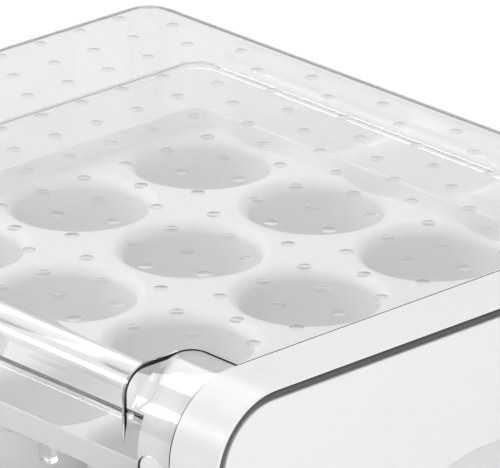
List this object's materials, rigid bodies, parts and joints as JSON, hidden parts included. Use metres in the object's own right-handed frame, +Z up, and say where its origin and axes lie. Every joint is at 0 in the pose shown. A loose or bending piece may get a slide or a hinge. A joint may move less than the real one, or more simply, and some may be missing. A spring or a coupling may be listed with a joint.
{
  "type": "egg storage drawer",
  "caption": "Clear refrigerator egg box with a white rounded front: a clear drawer carries a white tray of open egg cups and slides out of a closed sleeve.",
  "frame": {"origin": "middle of the footprint, on the surface that the pads stand on", "axes": "+Z up, -Y towards the drawer front, +X to the right seen from the front"},
  "size_m": [0.214, 0.262, 0.076],
  "materials": {
    "clear_case": "clear polished plastic",
    "clear_tub": "clear polished plastic",
    "white_frame": "white moulded plastic, satin gloss",
    "white_panel": "white moulded plastic, satin",
    "white_tray": "white moulded plastic, satin",
    "seal": "dark grey soft seal",
    "runner": "low-friction plastic",
    "pad": "translucent silicone"
  },
  "bodies": {
    "case": {"case_shell": "clear_case", "front_frame": "white_frame", "runner_left": "runner", "runner_right": "runner", "stop_block_left": "runner", "stop_block_right": "runner", "pad_front_left": "pad", "pad_front_right": "pad", "pad_rear_left": "pad", "pad_rear_right": "pad"},
    "drawer": {"drawer_tub": "clear_tub", "egg_tray": "white_tray", "front_panel": "white_panel", "panel_seal": "seal"}
  },
  "joints": [
    {"name": "drawer_slide", "type": "slide", "parent": "case", "child": "drawer", "axis": [0, -1, 0], "range_m": [0, 0.17]}
  ]
}
